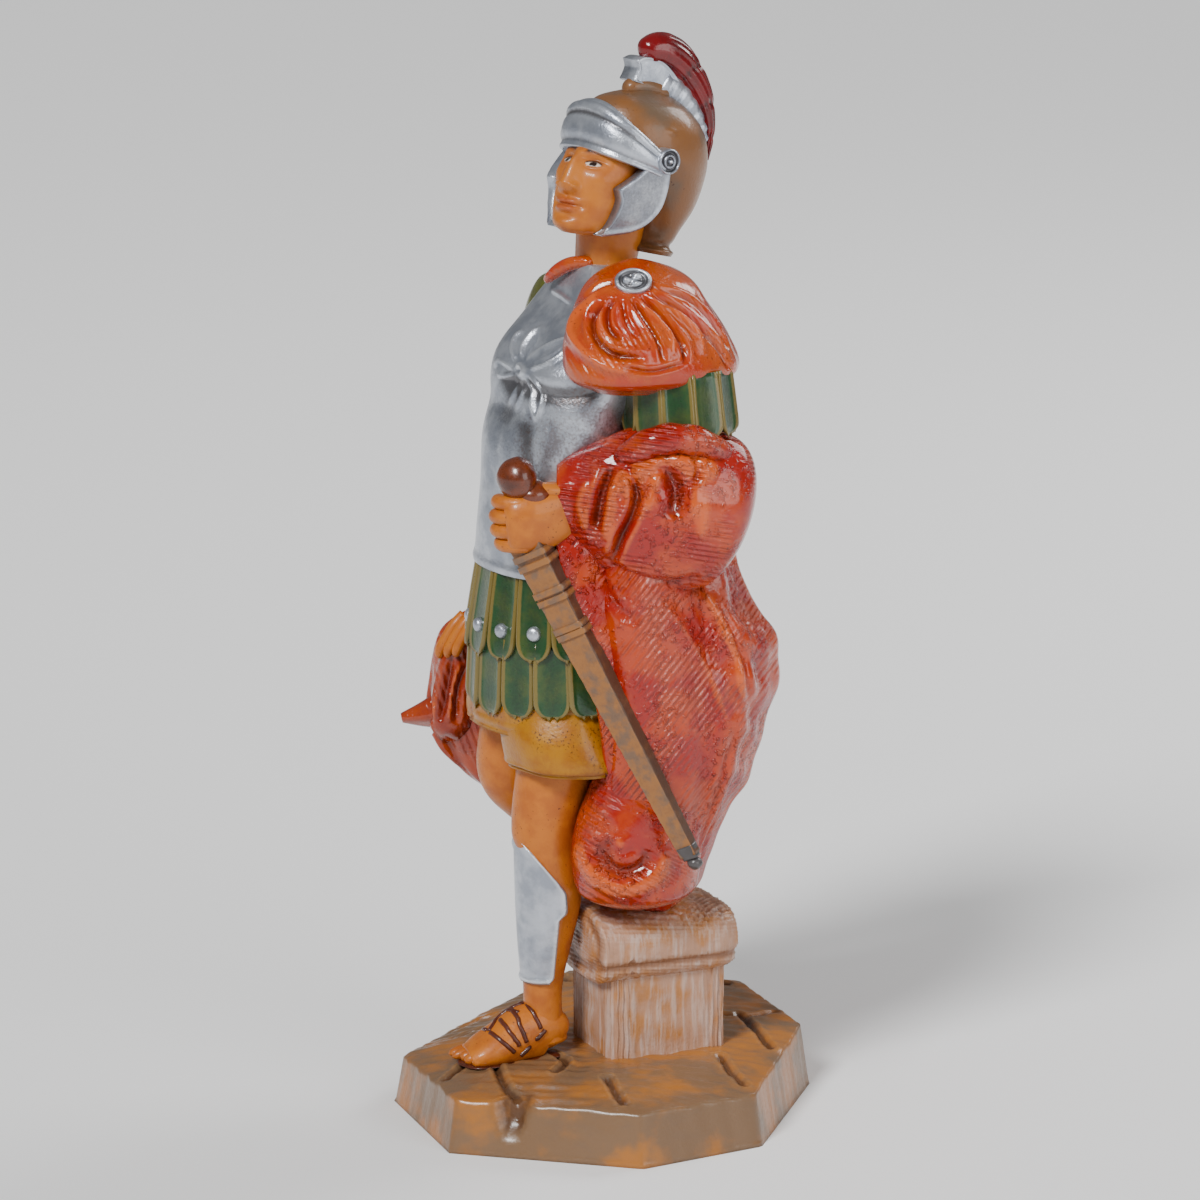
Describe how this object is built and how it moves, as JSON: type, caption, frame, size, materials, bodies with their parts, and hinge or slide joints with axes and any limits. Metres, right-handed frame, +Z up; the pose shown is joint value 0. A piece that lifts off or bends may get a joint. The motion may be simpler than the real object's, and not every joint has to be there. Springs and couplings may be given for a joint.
{
  "type": "roman soldier figurine",
  "caption": "Painted moulded figurine of a Roman soldier in helmet, cuirass and cloak, holding a sheathed sword, standing on an eight-sided ground beside a carved block.",
  "frame": {"origin": "middle of the flat underside of the ground, on the surface the figurine stands on", "axes": "+Z up along the figure, -Y the way the soldier faces, +X his left side"},
  "size_m": [0.0759, 0.0756, 0.1872],
  "materials": {
    "resin": "hand-painted moulded resin under satin varnish",
    "flesh": "orange-tan flesh paint, satin varnish",
    "silver": "worn silver paint over resin",
    "helmet_brown": "brown paint with a grey wash",
    "crest_red": "dark red gloss paint",
    "cloak_red": "orange-red paint, glossy varnish over ribbed relief",
    "strap_green": "green paint rubbed back to tan on the edges",
    "tunic_yellow": "golden yellow gloss paint",
    "scabbard_tan": "tan paint with a grey-brown wash",
    "strap_brown": "dark brown paint",
    "block_pink": "tan paint with a pale pink dry-brushed wash",
    "ground_tan": "tan paint with a grey-brown wash in the hollows"
  },
  "bodies": {
    "root": {"soldier_figurine": "resin"}
  },
  "joints": []
}
